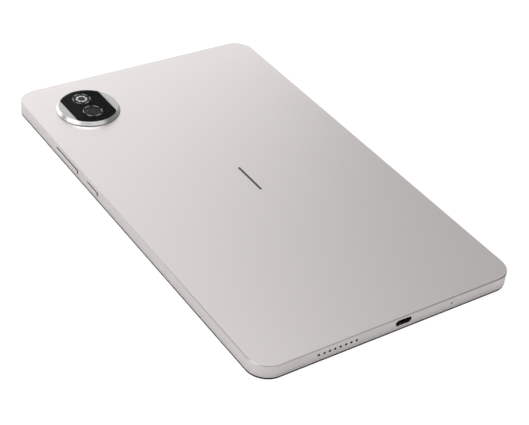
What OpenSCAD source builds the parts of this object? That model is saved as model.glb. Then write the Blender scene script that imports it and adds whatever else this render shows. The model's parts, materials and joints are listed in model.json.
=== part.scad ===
// Tablet computer, lying screen down, with its rear cover up.
// X runs across the short side, Y along the long side towards the camera, Z up.
// The origin is the centre of the screen's outer face. All sizes are in millimetres.

/* [Body] */
// Width across the short side
body_w = 150; // [148:0.5:156]
// Length along the long side
body_l = 248.4; // [246:0.2:256]
// Thickness from screen to rear cover, without the camera
body_t = 7.9; // [7.9:0.1:8.4]
// Radius of the four corners, seen from behind
corner_r = 11; // [9:0.5:12]
// Width of the chamfer round the rear cover
edge_chamfer = 0.4; // [0.2:0.1:0.6]
// Thickness of the side walls
wall_t = 1.6; // [1.4:0.1:1.8]
// Thickness of the rear cover's skin
skin_t = 0.8; // [0.6:0.1:0.9]

/* [Screen] */
// Height of the black frame that shows below the metal
frame_h = 1.1; // [0.8:0.1:1.1]
// Thickness of the cover glass
glass_t = 0.7; // [0.5:0.1:0.7]
// Black border from the body's side to the display panel
border_w = 6.5; // [6.3:0.1:7]

/* [Camera island] */
// Distance of the island's centre from the side and from the end
island_inset = 30; // [28:0.5:32]
// Radius of the island's metal ring
island_r = 17.5; // [17.2:0.1:17.8]
// Height of the ring above the rear cover
ring_h = 2.2; // [2:0.1:2.4]
// Radius of the black window's round ends
window_r = 16; // [15.6:0.1:16.1]
// Half width of the black window between its straight sides
window_half = 11.8; // [11:0.1:12.5]
// Main lens centre, below the island's centre
lens_drop = 5.2; // [4.8:0.1:5.6]
// Lamp centre, above the island's centre
lamp_rise = 8.2; // [7.8:0.1:8.6]

/* [Keys] */
// Length of the volume key
volume_len = 24.7; // [20:0.1:26]
// Length of the power key
power_len = 12; // [10:0.1:14]
// Height of both keys
key_h = 2.2; // [1.8:0.1:2.4]
// Distance that the keys stand out of the side
key_proud = 0.5; // [0.3:0.1:0.7]

/* [Port and holes] */
// Port centre, right of the middle
port_x = 5.1; // [4:0.1:6]
// Width of the port's opening
port_w = 9.3; // [9.2:0.1:9.6]
// Height of the port's opening
port_h = 3.3; // [3.3:0.1:3.6]
// Number of holes in a loudspeaker grille
grille_count = 8; // [6:1:8]
// Distance from hole to hole in a grille
grille_pitch = 3.02; // [2.8:0.02:3.1]
// Radius of each grille hole
grille_r = 0.7; // [0.4:0.05:0.7]
// Microphone hole, right of the middle
mic_x = 34.4; // [33:0.1:36]

/* [Hidden] */
$fn = 64;
EPS = 0.01;

// levels through the thickness
skin_z = body_t - skin_t;
frame_z = 0.05;
lcd_z = glass_t;
film_z = lcd_z + 0.8;
guide_z = film_z + 0.3;
tray_z = guide_z + 0.6;
stack_z = tray_z + 0.2;
board_t = 0.8;
board_z = 5.2;
sub_z = 4.45;
port_z = 4.85;
grille_z = 4.5;
mic_z = 4.3;
mic_r = 0.5;
key_z = 4;

// outlines
side_x = body_w / 2;
end_y = body_l / 2;
inner_w = body_w - 2 * wall_t;
inner_l = body_l - 2 * wall_t;
inner_r = corner_r - wall_t;
glass_w = body_w - 2;
glass_l = body_l - 2;
lcd_w = body_w - 2 * border_w;
lcd_l = body_l - 2 * border_w + 1;

// camera island
island = [-side_x + island_inset, end_y - island_inset];
ring_top = body_t + ring_h;
window_top = ring_top + 0.2;
window_z = window_top - 0.6;
deck_z = window_z - 0.3;
window_corner = 2;
island_bore = 16.2;
skirt_r = 15;
deck_t = 0.4;
lens_at = [island.x, island.y - lens_drop];
lamp_at = [island.x, island.y + lamp_rise];
lens_r = 3;
lens_open_r = 3.6;
lamp_open_r = 3.4;
lens_trim_r = 5.4;
lamp_trim_r = 5.1;
trim_t = 0.25;
lamp_z = window_z - 0.95;

// keys
volume_y = end_y - 64;
power_y = end_y - 92.2;
key_gap = 0.15;
key_bevel = 0.2;
key_back = -side_x + wall_t + 0.35;
nub_tip = -side_x + 2.4;
dome_x = -side_x + 2.65;
flex_x = dome_x + 0.15;
plate_x = flex_x + 0.15;
plate_t = 0.3;
volume_nub = 8.5;

// loudspeakers
speaker_w = 29;
speaker_l = 20.8;
speaker_z = 3.3;
speaker_top = 6.9;
bottom_speaker_x = -32.6;
top_speaker_x = 32.6;
cone_z = 3.95;
cone_r = 5;
driver_z = 4.6;

// batteries
cell_w = 60;
cell_l = 150;
cell_z = 3.6;
cell_top = skin_z - 0.15;
cell_y = -20;

// antennas beside the right-hand wall
antenna_x = side_x - wall_t - 2.4;
antenna_y = [30, -40];
cable_z = 6.5;

// main board's sockets and fixings
display_plug_y = 65;
link_x = 62.5;
link_y = 80;
board_fix = [[-18, end_y - 8.2], [66, end_y - 8.2], [66, 69], [-62, 68.5], [12, 67]];
sub_fix = [[-11, -end_y + 15.5], [46, -end_y + 15.5], [22, -end_y + 8]];
boss_r = 2;
screw_r = 0.58;
bore_r = 0.6;
head_r = 1.3;
head_h = 0.5;
key_fix = [power_y - 4, volume_y + 8];

// ---- shared shapes ----

// Flat rectangle with round corners
module rounded_rect(w, l, r) {
    square([w - 2 * r, l], center = true);
    square([w, l - 2 * r], center = true);
    for (x = [-1, 1], y = [-1, 1])
        translate([x * (w / 2 - r), y * (l / 2 - r)]) circle(r);
}

// Plate with round corners between two heights
module plate(w, l, r, z0, z1) {
    translate([0, 0, z0]) linear_extrude(z1 - z0) rounded_rect(w, l, r);
}

// Box given by its corner and size, between two heights
module slab(x0, x1, y0, y1, z0, z1) {
    translate([x0, y0, z0]) cube([x1 - x0, y1 - y0, z1 - z0]);
}

// Frustum with round corners, from the full outline to one that is c smaller all round
module chamfer_plate(w, l, r, z0, c) {
    half = [[-0.5, 0], [0.5, 0]];
    for (x = [-1, 1], y = [-1, 1])
        translate([x * (w / 2 - r), y * (l / 2 - r), z0]) cylinder(h = c, r1 = r, r2 = r - c);
    translate([0, 0, z0]) rotate([90, 0, 0]) linear_extrude(l - 2 * r, center = true)
        polygon([[-w / 2, 0], [w / 2, 0], [w / 2 - c, c], [-w / 2 + c, c]]);
    translate([0, 0, z0]) rotate([90, 0, 90]) linear_extrude(w - 2 * r, center = true)
        polygon([[-l / 2, 0], [l / 2, 0], [l / 2 - c, c], [-l / 2 + c, c]]);
}

// Pill outline, w wide and h high
module pill(w, h) {
    square([w - h, h], center = true);
    for (s = [-1, 1]) translate([s * (w - h) / 2, 0]) circle(h / 2);
}

// Pill-shaped bar along Y, centred on x and z
module pill_along_y(x, z, w, h, y0, y1) {
    translate([x, y1, z]) rotate([90, 0, 0]) linear_extrude(y1 - y0) pill(w, h);
}

// Pill-shaped bar along X, centred on y and z
module pill_along_x(y, z, w, h, x0, x1) {
    translate([x0, y, z]) rotate([90, 0, 90]) linear_extrude(x1 - x0) pill(w, h);
}

// Widening cut round the mouth of a pill-shaped opening in the near end, c deep
module pill_mouth(x, z, w, h, c) {
    d = c + 0.1;
    translate([x, -end_y - 0.1, z]) {
        for (s = [-1, 1]) translate([s * (w - h) / 2, 0, 0]) rotate([-90, 0, 0])
            cylinder(h = d, r1 = h / 2 + d, r2 = h / 2);
        rotate([90, 0, 90]) linear_extrude(w - h, center = true) polygon([
            [0, -h / 2 - d], [d, -h / 2], [d, h / 2], [0, h / 2 + d]]);
    }
}

// Round rod along Y
module rod_y(x, z, r, y0, y1) {
    translate([x, y1, z]) rotate([90, 0, 0]) cylinder(h = y1 - y0, r = r, $fn = 32);
}

// Points of an arc about a centre
function arc(c, r, a0, a1, n) = [for (i = [0:n]) let (a = a0 + (a1 - a0) * i / n)
    [c.x + r * cos(a), c.y + r * sin(a)]];

// Circle of radius r cut off by two straight sides at x = +half and -half, with round corners
function clipped_circle(r, half, rc) = let (
    cx = half - rc,
    cy = sqrt((r - rc) * (r - rc) - cx * cx),
    lean = atan2(cy, cx))
    concat(
        arc([cx, cy], rc, 0, lean, 8),
        arc([0, 0], r, lean + 2, 178 - lean, 24),
        arc([-cx, cy], rc, 180 - lean, 180, 8),
        arc([-cx, -cy], rc, 180, 180 + lean, 8),
        arc([0, 0], r, 182 + lean, 358 - lean, 24),
        arc([cx, -cy], rc, 360 - lean, 360, 8));

// Small screw, head downwards, its shank reaching up to z1
module screw(x, y, head_z, z1) {
    translate([x, y, head_z]) difference() {
        cylinder(h = head_h, r = head_r, $fn = 32);
        translate([0, 0, -EPS]) cylinder(h = 0.25, r = 0.6, $fn = 6);
    }
    translate([x, y, head_z + head_h]) cylinder(h = z1 - head_z - head_h, r = screw_r, $fn = 32);
}

// ---- screen ----

module cover_glass() {
    color([0.02, 0.02, 0.025]) {
        plate(glass_w, glass_l, corner_r - 1, 0.25, glass_t);
        translate([0, 0, 0.25]) mirror([0, 0, 1]) chamfer_plate(glass_w, glass_l, corner_r - 1, 0, 0.25);
    }
}

module display_frame() {
    color([0.06, 0.06, 0.06]) difference() {
        union() {
            plate(body_w - 0.3, body_l - 0.3, corner_r - 0.15, frame_z, frame_h);
            plate(inner_w - 0.3, inner_l - 0.3, inner_r - 0.15, frame_h, 1.6);
        }
        plate(glass_w + 0.2, glass_l + 0.2, corner_r - 0.9, -1, glass_t);
        plate(lcd_w + 0.6, lcd_l + 0.6, 3.3, -1, 3);
        slab(-side_x + 2, -side_x + 7, -3, 3, glass_t, 3);
    }
}

module lcd_cell() {
    color([0.1, 0.1, 0.12]) plate(lcd_w, lcd_l, 3, lcd_z, film_z);
}

module diffuser_films() {
    color([0.95, 0.95, 0.95]) plate(lcd_w - 1.2, lcd_l - 1.2, 2, film_z, guide_z);
}

module light_guide() {
    color([0.85, 0.92, 0.95]) translate([0, 1.2, 0]) plate(lcd_w - 1.2, lcd_l - 3.6, 2.4, guide_z, tray_z);
}

module led_bar() {
    y0 = -lcd_l / 2 + 0.5;
    color([0.95, 0.9, 0.6]) {
        slab(-62, 62, y0, y0 + 0.6, guide_z, tray_z);
        for (i = [0:23]) slab(-60 + i * 5, -57.5 + i * 5, y0 + 0.6, y0 + 1.6, guide_z, tray_z - 0.1);
    }
}

module backlight_tray() {
    color([0.75, 0.76, 0.78]) difference() {
        plate(lcd_w, lcd_l, 3, film_z, stack_z);
        plate(lcd_w - 0.8, lcd_l - 0.8, 2.6, film_z - 1, tray_z);
    }
}

module graphite_sheet() {
    color([0.2, 0.2, 0.21]) plate(118, 196, 4, stack_z, stack_z + 0.1);
}

module display_flex() {
    z1 = stack_z + 0.25;
    color([0.85, 0.5, 0.15]) {
        slab(20, 54, display_plug_y, lcd_l / 2 - 6, stack_z + 0.1, z1);
        slab(28, 46, display_plug_y, display_plug_y + 4, z1 - EPS, board_z - 0.9);
    }
}

// ---- rear housing ----

module housing_outside() {
    plate(body_w, body_l, corner_r, frame_h, body_t - edge_chamfer);
    chamfer_plate(body_w, body_l, corner_r, body_t - edge_chamfer, edge_chamfer);
}

module boss_cuts(places, r, z0, z1) {
    for (p = places) translate([p.x, p.y, z0]) cylinder(h = z1 - z0, r = r, $fn = 32);
}

module grille_holes(x, y0, y1) {
    for (i = [0:grille_count - 1])
        rod_y(x + (i - (grille_count - 1) / 2) * grille_pitch, grille_z, grille_r, y0, y1);
}

module rear_housing() {
    color([0.78, 0.76, 0.75]) difference() {
        union() {
            difference() {
                housing_outside();
                plate(inner_w, inner_l, inner_r, frame_h - 1, skin_z);
            }
            boss_cuts(board_fix, boss_r, board_z + board_t, skin_z + 0.1);
            boss_cuts(sub_fix, boss_r, sub_z + board_t, skin_z + 0.1);
        }
        boss_cuts(board_fix, bore_r, board_z, skin_z + 0.3);
        boss_cuts(sub_fix, bore_r, sub_z, skin_z + 0.3);
        for (y = key_fix) translate([-side_x + 5.4, y, skin_z - 1]) cylinder(h = 1.4, r = bore_r, $fn = 32);
        translate([island.x, island.y, skin_z - 1]) cylinder(h = 3, r = island_bore, $fn = 128);
        pill_along_y(port_x, port_z, port_w, port_h, -end_y - 1, -end_y + wall_t + 1);
        pill_mouth(port_x, port_z, port_w, port_h, 0.25);
        grille_holes(bottom_speaker_x, -end_y - 1, -end_y + wall_t + 1);
        grille_holes(top_speaker_x, end_y - wall_t - 1, end_y + 1);
        rod_y(mic_x, mic_z, mic_r, -end_y - 1, -end_y + wall_t + 1);
        pill_along_x(volume_y, key_z, volume_len + 2 * key_gap, key_h + 2 * key_gap, -side_x - 1, -side_x + wall_t + 1);
        pill_along_x(power_y, key_z, power_len + 2 * key_gap, key_h + 2 * key_gap, -side_x - 1, -side_x + wall_t + 1);
        translate([0, 0, body_t - 0.3]) linear_extrude(1) rotate(90) pill(22, 1.5);
    }
}

module rear_badge() {
    color([0.35, 0.34, 0.34]) translate([0, 0, body_t - 0.3]) linear_extrude(0.32) rotate(90) pill(21.9, 1.4);
}

// ---- camera island ----

module camera_ring() {
    color([0.85, 0.84, 0.83]) translate([island.x, island.y, 0]) difference() {
        rotate_extrude($fn = 128) polygon([
            [0, skin_z], [island_bore - 0.1, skin_z], [island_bore - 0.1, body_t], [island_r, body_t],
            [island_r, body_t + 0.45], [island_r - 0.15, body_t + 0.6],
            [window_r + 0.25, ring_top], [0, ring_top]]);
        translate([0, 0, deck_z]) linear_extrude(2)
            polygon(clipped_circle(window_r + 0.05, window_half + 0.05, window_corner));
        translate([0, 0, skin_z - 1]) cylinder(h = deck_z - deck_t - skin_z + 1, r = skirt_r, $fn = 128);
        translate([0, -lens_drop, skin_z]) cylinder(h = 4, r = lens_open_r);
        translate([0, lamp_rise, skin_z]) cylinder(h = 4, r = lamp_open_r);
    }
}

module camera_window() {
    color([0.03, 0.03, 0.035]) translate([island.x, island.y, window_z])
        linear_extrude(window_top - window_z) polygon(clipped_circle(window_r, window_half, window_corner));
}

module camera_gasket() {
    color([0.02, 0.02, 0.02]) translate([island.x, island.y, deck_z]) difference() {
        linear_extrude(window_z - deck_z)
            polygon(clipped_circle(window_r - 0.3, window_half - 0.3, window_corner));
        translate([0, -lens_drop, -1]) cylinder(h = 3, r = lens_trim_r + 0.1);
        translate([0, lamp_rise, -1]) cylinder(h = 3, r = lamp_trim_r + 0.1);
    }
}

// Flat ring round an opening in the deck
module trim_ring(at, r, open_r) {
    translate([at.x, at.y, deck_z]) difference() {
        cylinder(h = trim_t, r = r);
        translate([0, 0, -1]) cylinder(h = 3, r = open_r);
    }
}

module lens_trim() {
    color([0.1, 0.1, 0.11]) trim_ring(lens_at, lens_trim_r, lens_open_r);
}

module lamp_trim() {
    color([0.1, 0.1, 0.11]) trim_ring(lamp_at, lamp_trim_r, lamp_open_r);
}

module rear_camera_body() {
    half = 4.25;
    color([0.15, 0.15, 0.16]) difference() {
        slab(lens_at.x - half, lens_at.x + half, lens_at.y - half, lens_at.y + half, 4.4, deck_z - deck_t);
        translate([lens_at.x, lens_at.y, 5]) cylinder(h = 6, r = lens_r + 0.1);
    }
}

module rear_camera_lens() {
    top = deck_z - 0.45;
    color([0.08, 0.08, 0.1]) translate([lens_at.x, lens_at.y, 0]) rotate_extrude() polygon([
        [0, 5.2], [lens_r, 5.2], [lens_r, top], [2.4, top], [1.6, top - 0.8],
        [1.2, top - 0.5], [0.6, top - 0.4], [0, top - 0.38]]);
}

module rear_camera_board() {
    color([0.1, 0.3, 0.2]) {
        slab(lens_at.x - 5, lens_at.x + 5, lens_at.y - 5, lens_at.y + 5, 3.9, 4.4);
        slab(lens_at.x - 3, lens_at.x + 3, lens_at.y - 16, lens_at.y - 5, 4.05, 4.2);
        slab(lens_at.x - 4, lens_at.x + 4, lens_at.y - 19, lens_at.y - 16, 4.05, board_z);
    }
}

module flash_lens() {
    color([0.95, 0.95, 0.92]) translate([lamp_at.x, lamp_at.y, lamp_z])
        difference() {
            cylinder(h = 0.9, r = 3.2);
            translate([0, 0, -EPS]) cylinder(h = 0.5, r = 2);
        }
}

module flash_board() {
    z = lamp_z;
    color([0.9, 0.85, 0.4]) {
        slab(lamp_at.x - 3.5, lamp_at.x + 3.5, lamp_at.y - 3.5, lamp_at.y + 3.5, z - 0.6, z);
        slab(lamp_at.x - 0.8, lamp_at.x + 0.8, lamp_at.y - 0.8, lamp_at.y + 0.8, z, z + 0.4);
    }
}

// ---- keys ----

// Key cap with its stop flange and switch nubs
module key(y, len, nubs, back, flange_len) {
    straight = len - key_h;
    translate([-side_x - key_proud, y, key_z]) {
        for (s = [-1, 1]) translate([0, s * straight / 2, 0]) rotate([0, 90, 0])
            cylinder(h = key_bevel, r1 = key_h / 2 - key_bevel, r2 = key_h / 2);
        rotate([90, 0, 0]) linear_extrude(straight, center = true) polygon([
            [0, -key_h / 2 + key_bevel], [key_bevel, -key_h / 2],
            [key_bevel, key_h / 2], [0, key_h / 2 - key_bevel]]);
    }
    pill_along_x(y, key_z, len, key_h, -side_x - key_proud + key_bevel, back);
    pill_along_x(y, key_z, flange_len, key_h + 1, back - EPS, back + 0.35);
    for (n = nubs) translate([back + 0.34, y + n, key_z]) rotate([0, 90, 0])
        cylinder(h = nub_tip - back - 0.34, r = 0.7, $fn = 32);
}

module volume_key() {
    color([0.8, 0.78, 0.77]) key(volume_y, volume_len, [-volume_nub, volume_nub], key_back, volume_len - 2.5);
}

module power_key() {
    color([0.8, 0.78, 0.77]) key(power_y, power_len, [0], key_back, power_len + 1.6);
}

module key_bracket() {
    y0 = power_y - 8;
    y1 = volume_y + 13;
    color([0.7, 0.7, 0.72]) difference() {
        union() {
            slab(plate_x, plate_x + plate_t, y0, y1, 2.2, skin_z);
            for (y = key_fix) slab(plate_x, plate_x + 3.8, y - 2, y + 2, skin_z - 0.3, skin_z);
        }
        for (y = key_fix) translate([-side_x + 5.4, y, 5]) cylinder(h = 4, r = 0.7, $fn = 32);
    }
}

module key_flex() {
    color([0.85, 0.5, 0.15]) {
        slab(flex_x, plate_x, power_y - 7, volume_y + 12, 2.6, 5.4);
        slab(flex_x, plate_x, volume_y + 12, volume_y + 16, 4.2, 4.9);
    }
}

module key_domes() {
    color([0.9, 0.88, 0.8])
        for (y = [power_y, volume_y - volume_nub, volume_y + volume_nub])
            translate([dome_x, y, key_z]) rotate([0, 90, 0])
                cylinder(h = flex_x - dome_x, r1 = 0.8, r2 = 1.3, $fn = 32);
}

module key_screws() {
    color([0.6, 0.6, 0.62])
        for (y = key_fix) screw(-side_x + 5.4, y, skin_z - 0.3 - head_h, skin_z + 0.35);
}

// ---- battery ----

module battery_cell(s) {
    x0 = s < 0 ? -cell_w - 1 : 1;
    slab(x0, x0 + cell_w, cell_y - cell_l / 2, cell_y + cell_l / 2, cell_z, cell_top);
    slab(x0 + 4, x0 + cell_w - 4, cell_y + cell_l / 2 - EPS, cell_y + cell_l / 2 + 1.5, cell_z + 1.4, cell_z + 1.9);
}

module battery_left() {
    color([0.25, 0.26, 0.28]) battery_cell(-1);
}

module battery_right() {
    color([0.25, 0.26, 0.28]) battery_cell(1);
}

module battery_board() {
    y0 = cell_y + cell_l / 2 + 1.6;
    color([0.1, 0.35, 0.2]) {
        slab(-50, 50, y0, y0 + 3.6, 4.8, 5.4);
        slab(15, 23, y0 + 3.6 - EPS, 68, 4.9, 5.1);
        slab(15, 23, 65.5, 68, 5.1 - EPS, board_z);
        for (x = [-40, -28, 28, 40]) slab(x - 2, x + 2, y0 + 0.6, y0 + 3, 4, 4.8);
    }
}

module battery_tape() {
    color([0.9, 0.9, 0.85]) for (x = [-31, 31], y = [-60, -20, 20])
        slab(x - 22, x + 22, cell_y + 20 + y - 8, cell_y + 20 + y + 8, cell_top, skin_z);
}

// ---- main board ----

module main_board_outline() {
    difference() {
        union() {
            translate([-23, 64]) square([93, end_y - 64 - 5]);
            translate([-67, 64]) square([45, 9]);
        }
        translate([top_speaker_x - speaker_w / 2 - 1, end_y - 23]) square([speaker_w + 2, 30]);
    }
}

module main_board() {
    color([0.05, 0.28, 0.15]) difference() {
        union() {
            translate([0, 0, board_z]) linear_extrude(board_t) main_board_outline();
            for (x = [-14, -10, -6, 56, 60]) slab(x, x + 2, 76, 78.5, board_z - 0.6, board_z);
            slab(28, 46, display_plug_y, display_plug_y + 4, board_z - 0.9, board_z);
            slab(link_x, link_x + 7, link_y - 4, link_y, 3.55, board_z);
        }
        boss_cuts(board_fix, 0.9, 0, 20);
    }
}

module processor() {
    color([0.12, 0.12, 0.13]) slab(22, 36, 80, 94, board_z - 1, board_z);
}

module memory_chip() {
    color([0.14, 0.14, 0.15]) slab(39, 50.5, 80.5, 93.5, board_z - 0.9, board_z);
}

module power_chips() {
    color([0.13, 0.13, 0.14]) {
        slab(52.5, 58, 81, 87, board_z - 0.8, board_z);
        slab(52.5, 56, 89, 93, board_z - 0.8, board_z);
    }
}

module radio_chip() {
    color([0.14, 0.14, 0.15]) slab(-12, -4, 90, 98, board_z - 0.8, board_z);
}

// Open-bottomed tin box pressed from 0.2 mm sheet
module shield_can(x0, x1, y0, y1, z0) {
    difference() {
        slab(x0, x1, y0, y1, z0, board_z);
        slab(x0 + 0.2, x1 - 0.2, y0 + 0.2, y1 - 0.2, z0 + 0.2, board_z + 1);
    }
}

module shield_cans() {
    color([0.8, 0.8, 0.82]) {
        shield_can(20, 61, 78.8, 96, 3.9);
        shield_can(-15, 4, 86, 104, 4.1);
    }
}

module main_board_screws() {
    color([0.6, 0.6, 0.62]) for (p = board_fix) screw(p.x, p.y, board_z - head_h, skin_z + 0.25);
}

// ---- sub board, port and microphone ----

module sub_board() {
    y0 = -end_y + 3;
    color([0.05, 0.28, 0.15]) difference() {
        union() {
            slab(-15, 50, y0, -end_y + 18.5, sub_z, sub_z + board_t);
            slab(28, 40, -end_y + 13, -end_y + 17, sub_z - 0.9, sub_z);
        }
        slab(port_x - 4.6, port_x + 4.6, y0 - 1, -end_y + 8.6, 0, 9);
        boss_cuts(sub_fix, 0.9, 0, 20);
    }
}

module sub_board_screws() {
    color([0.6, 0.6, 0.62]) for (p = sub_fix) screw(p.x, p.y, sub_z - head_h, skin_z + 0.25);
}

module board_link_flex() {
    color([0.85, 0.5, 0.15]) {
        slab(link_x, link_x + 7, -end_y + 13, link_y, 3.4, 3.55);
        slab(28, link_x + EPS, -end_y + 13, -end_y + 19, 3.4, 3.55);
    }
}

module usb_shell() {
    y0 = -end_y + 0.9;
    color([0.75, 0.75, 0.77]) difference() {
        pill_along_y(port_x, port_z, 8.94, 3.16, y0, y0 + 7.4);
        pill_along_y(port_x, port_z, 8.34, 2.56, y0 - 1, y0 + 6.8);
    }
}

module usb_tongue() {
    y0 = -end_y + 1.7;
    color([0.06, 0.06, 0.06]) {
        slab(port_x - 3.34, port_x + 3.34, y0, -end_y + 7.7, port_z - 0.3, port_z + 0.3);
        pill_along_y(port_x, port_z, 8.3, 2.5, -end_y + 7, -end_y + 7.7);
    }
}

module usb_contacts() {
    y0 = -end_y + 2.3;
    color([0.9, 0.75, 0.35]) for (i = [0:11], s = [0, 1])
        slab(port_x - 2.88 + i * 0.5, port_x - 2.62 + i * 0.5, y0, y0 + 3.6,
            port_z + (s ? 0.3 : -0.34), port_z + (s ? 0.34 : -0.3));
}

module usb_seal() {
    color([0.1, 0.1, 0.1]) difference() {
        pill_along_y(port_x, port_z, 10.6, 4.4, -end_y + wall_t, -end_y + wall_t + 0.8);
        pill_along_y(port_x, port_z, 8.98, 3.2, -end_y, -end_y + wall_t + 3);
    }
}

module microphone() {
    color([0.8, 0.75, 0.5]) slab(mic_x - 1.4, mic_x + 1.4, -end_y + 3.2, -end_y + 6.4, sub_z - 1, sub_z);
}

module microphone_boot() {
    color([0.1, 0.1, 0.1]) difference() {
        slab(mic_x - 1.6, mic_x + 1.6, -end_y + wall_t, -end_y + 3, mic_z - 1.4, mic_z + 1.4);
        rod_y(mic_x, mic_z, mic_r, -end_y, -end_y + 4);
    }
}

// ---- loudspeakers: each is drawn for the near end, and turned round for the far one ----

module at_bottom_speaker() {
    translate([bottom_speaker_x, -end_y + wall_t, 0]) children();
}

module at_top_speaker() {
    translate([top_speaker_x, end_y - wall_t, 0]) rotate(180) children();
}

module speaker_box() {
    color([0.08, 0.08, 0.08]) difference() {
        slab(-speaker_w / 2, speaker_w / 2, 0.5, speaker_l, speaker_z + 0.2, speaker_top);
        slab(-8.2, 8.2, 5.5, 16.9, speaker_z, 6.3);
        slab(-12, 12, -1, 6, speaker_z, 5.6);
    }
}

module speaker_lid() {
    color([0.1, 0.1, 0.1]) slab(-speaker_w / 2, speaker_w / 2, 0.5, speaker_l, speaker_z, speaker_z + 0.2);
}

module speaker_driver() {
    color([0.5, 0.5, 0.52]) translate([0, 11.2, 0]) difference() {
        union() {
            slab(-8, 8, -5.6, 5.6, driver_z, 6.3);
            difference() {
                slab(-8, 8, -5.6, 5.6, 3.6, driver_z);
                translate([0, 0, 3]) cylinder(h = 3, r = cone_r + 0.3);
            }
        }
        difference() {
            translate([0, 0, driver_z - 1]) cylinder(h = 2.3, r = 4.5);
            translate([0, 0, driver_z - 2]) cylinder(h = 5, r = 3.6);
        }
    }
}

module speaker_cone() {
    color([0.3, 0.28, 0.25]) translate([0, 11.2, 0]) rotate_extrude() polygon([
        [0, cone_z], [3, cone_z], [3.4, cone_z - 0.05], [cone_r, cone_z - 0.05], [cone_r, cone_z + 0.1],
        [4.2, cone_z + 0.1], [4.2, cone_z + 1.3], [3.9, cone_z + 1.3], [3.9, cone_z + 0.15], [0, cone_z + 0.15]]);
}

module speaker_mesh() {
    color([0.15, 0.15, 0.15]) slab(-12.5, 12.5, 0, 0.2, 3.3, 5.7);
}

module bottom_speaker_box() { at_bottom_speaker() speaker_box(); }
module bottom_speaker_lid() { at_bottom_speaker() speaker_lid(); }
module bottom_speaker_driver() { at_bottom_speaker() speaker_driver(); }
module bottom_speaker_cone() { at_bottom_speaker() speaker_cone(); }
module bottom_speaker_mesh() { at_bottom_speaker() speaker_mesh(); }
module top_speaker_box() { at_top_speaker() speaker_box(); }
module top_speaker_lid() { at_top_speaker() speaker_lid(); }
module top_speaker_driver() { at_top_speaker() speaker_driver(); }
module top_speaker_cone() { at_top_speaker() speaker_cone(); }
module top_speaker_mesh() { at_top_speaker() speaker_mesh(); }

// ---- front camera and antennas ----

module front_camera() {
    x = -side_x + 4.4;
    color([0.1, 0.1, 0.1]) difference() {
        union() {
            slab(x - 2.2, x + 1.8, -2.6, 2.6, 1.5, 4.4);
            translate([x, 0, glass_t]) cylinder(h = 1, r = 1.5, $fn = 32);
        }
        translate([x, 0, 0]) cylinder(h = 1.1, r1 = 1.1, r2 = 0.6, $fn = 32);
    }
}

module wifi_antennas() {
    color([0.8, 0.7, 0.4]) for (y = antenna_y)
        slab(antenna_x, antenna_x + 2.2, y - 14, y + 14, 5, 6.8);
}

module antenna_cables() {
    color([0.1, 0.1, 0.1]) for (i = [0, 1]) {
        x = antenna_x - 1 - i * 1.5;
        rod_y(x, cable_z, 0.4, antenna_y[i] + 6, 72 + i * 2.5);
        translate([x, antenna_y[i] + 6, cable_z]) rotate([0, 90, 0])
            cylinder(h = antenna_x - x, r = 0.4, $fn = 32);
        translate([x, 72 + i * 2.5, board_z + board_t]) cylinder(h = 0.9, r = 0.9, $fn = 32);
    }
}

cover_glass();
display_frame();
lcd_cell();
diffuser_films();
light_guide();
led_bar();
backlight_tray();
graphite_sheet();
display_flex();
rear_housing();
rear_badge();
camera_ring();
camera_window();
camera_gasket();
lens_trim();
lamp_trim();
rear_camera_body();
rear_camera_lens();
rear_camera_board();
flash_lens();
flash_board();
volume_key();
power_key();
key_bracket();
key_flex();
key_domes();
key_screws();
battery_left();
battery_right();
battery_board();
battery_tape();
main_board();
processor();
memory_chip();
power_chips();
radio_chip();
shield_cans();
main_board_screws();
sub_board();
sub_board_screws();
board_link_flex();
usb_shell();
usb_tongue();
usb_contacts();
usb_seal();
microphone();
microphone_boot();
bottom_speaker_box();
bottom_speaker_lid();
bottom_speaker_driver();
bottom_speaker_cone();
bottom_speaker_mesh();
top_speaker_box();
top_speaker_lid();
top_speaker_driver();
top_speaker_cone();
top_speaker_mesh();
front_camera();
wifi_antennas();
antenna_cables();
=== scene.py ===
import json
import math

import bpy
from mathutils import Matrix, Vector


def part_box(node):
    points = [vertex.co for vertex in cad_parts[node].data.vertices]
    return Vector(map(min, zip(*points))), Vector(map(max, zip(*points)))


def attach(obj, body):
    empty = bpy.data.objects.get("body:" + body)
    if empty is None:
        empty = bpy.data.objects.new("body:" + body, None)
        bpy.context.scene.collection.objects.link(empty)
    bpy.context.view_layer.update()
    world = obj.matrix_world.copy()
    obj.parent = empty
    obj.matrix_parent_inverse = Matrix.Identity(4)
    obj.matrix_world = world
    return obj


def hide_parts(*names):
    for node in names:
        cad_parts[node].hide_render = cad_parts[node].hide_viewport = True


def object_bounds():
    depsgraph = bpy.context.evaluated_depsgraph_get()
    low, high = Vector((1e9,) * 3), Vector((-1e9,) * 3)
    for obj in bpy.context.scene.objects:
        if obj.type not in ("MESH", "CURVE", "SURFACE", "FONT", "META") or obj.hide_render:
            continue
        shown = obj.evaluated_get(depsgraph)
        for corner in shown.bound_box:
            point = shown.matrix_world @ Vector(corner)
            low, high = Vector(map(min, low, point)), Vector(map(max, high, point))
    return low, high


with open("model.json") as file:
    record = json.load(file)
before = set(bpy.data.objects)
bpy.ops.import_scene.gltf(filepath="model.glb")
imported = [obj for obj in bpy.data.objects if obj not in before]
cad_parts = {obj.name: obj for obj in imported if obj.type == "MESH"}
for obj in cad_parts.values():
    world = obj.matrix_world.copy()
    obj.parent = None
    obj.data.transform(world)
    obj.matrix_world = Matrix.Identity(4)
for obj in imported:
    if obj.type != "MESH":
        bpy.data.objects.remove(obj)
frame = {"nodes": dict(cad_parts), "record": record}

cad_low, cad_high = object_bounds()
nodes = frame["nodes"]
mm = 0.001

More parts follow.
